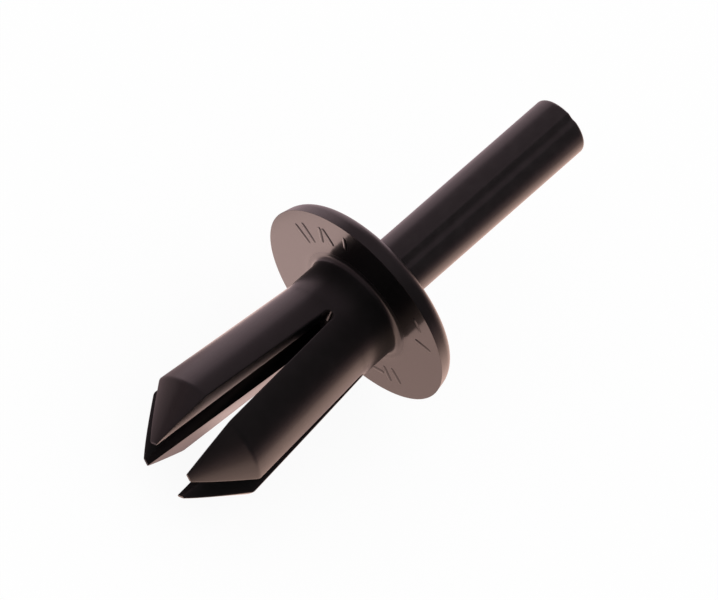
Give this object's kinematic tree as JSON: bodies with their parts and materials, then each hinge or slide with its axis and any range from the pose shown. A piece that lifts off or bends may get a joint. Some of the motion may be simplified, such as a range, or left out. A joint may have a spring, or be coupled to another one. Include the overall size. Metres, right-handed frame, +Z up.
{
  "type": "plastic push rivet",
  "caption": "Split-shank plastic push rivet with a domed head and a proud drive pin, lying on its rim and legs",
  "frame": {"origin": "centre of the part's base rectangle on the ground, under the rivet as it lies at rest", "axes": "+X along the length toward the end of the drive pin, +Z up, +Y across the head; the rivet's own axis rises 12.4 degrees from +X because the head's rim is wider than the legs"},
  "size_m": [0.0386, 0.016, 0.0156],
  "materials": {
    "body_plastic": "black moulded nylon, satin",
    "pin_plastic": "black moulded nylon, satin"
  },
  "bodies": {
    "body": {"rivet_body": "body_plastic"},
    "pin": {"drive_pin": "pin_plastic"}
  },
  "joints": [
    {"name": "pin_drive", "type": "slide", "parent": "body", "child": "pin", "axis": [-0.9767, 0, -0.2148], "range_m": [0, 0.01745]}
  ]
}
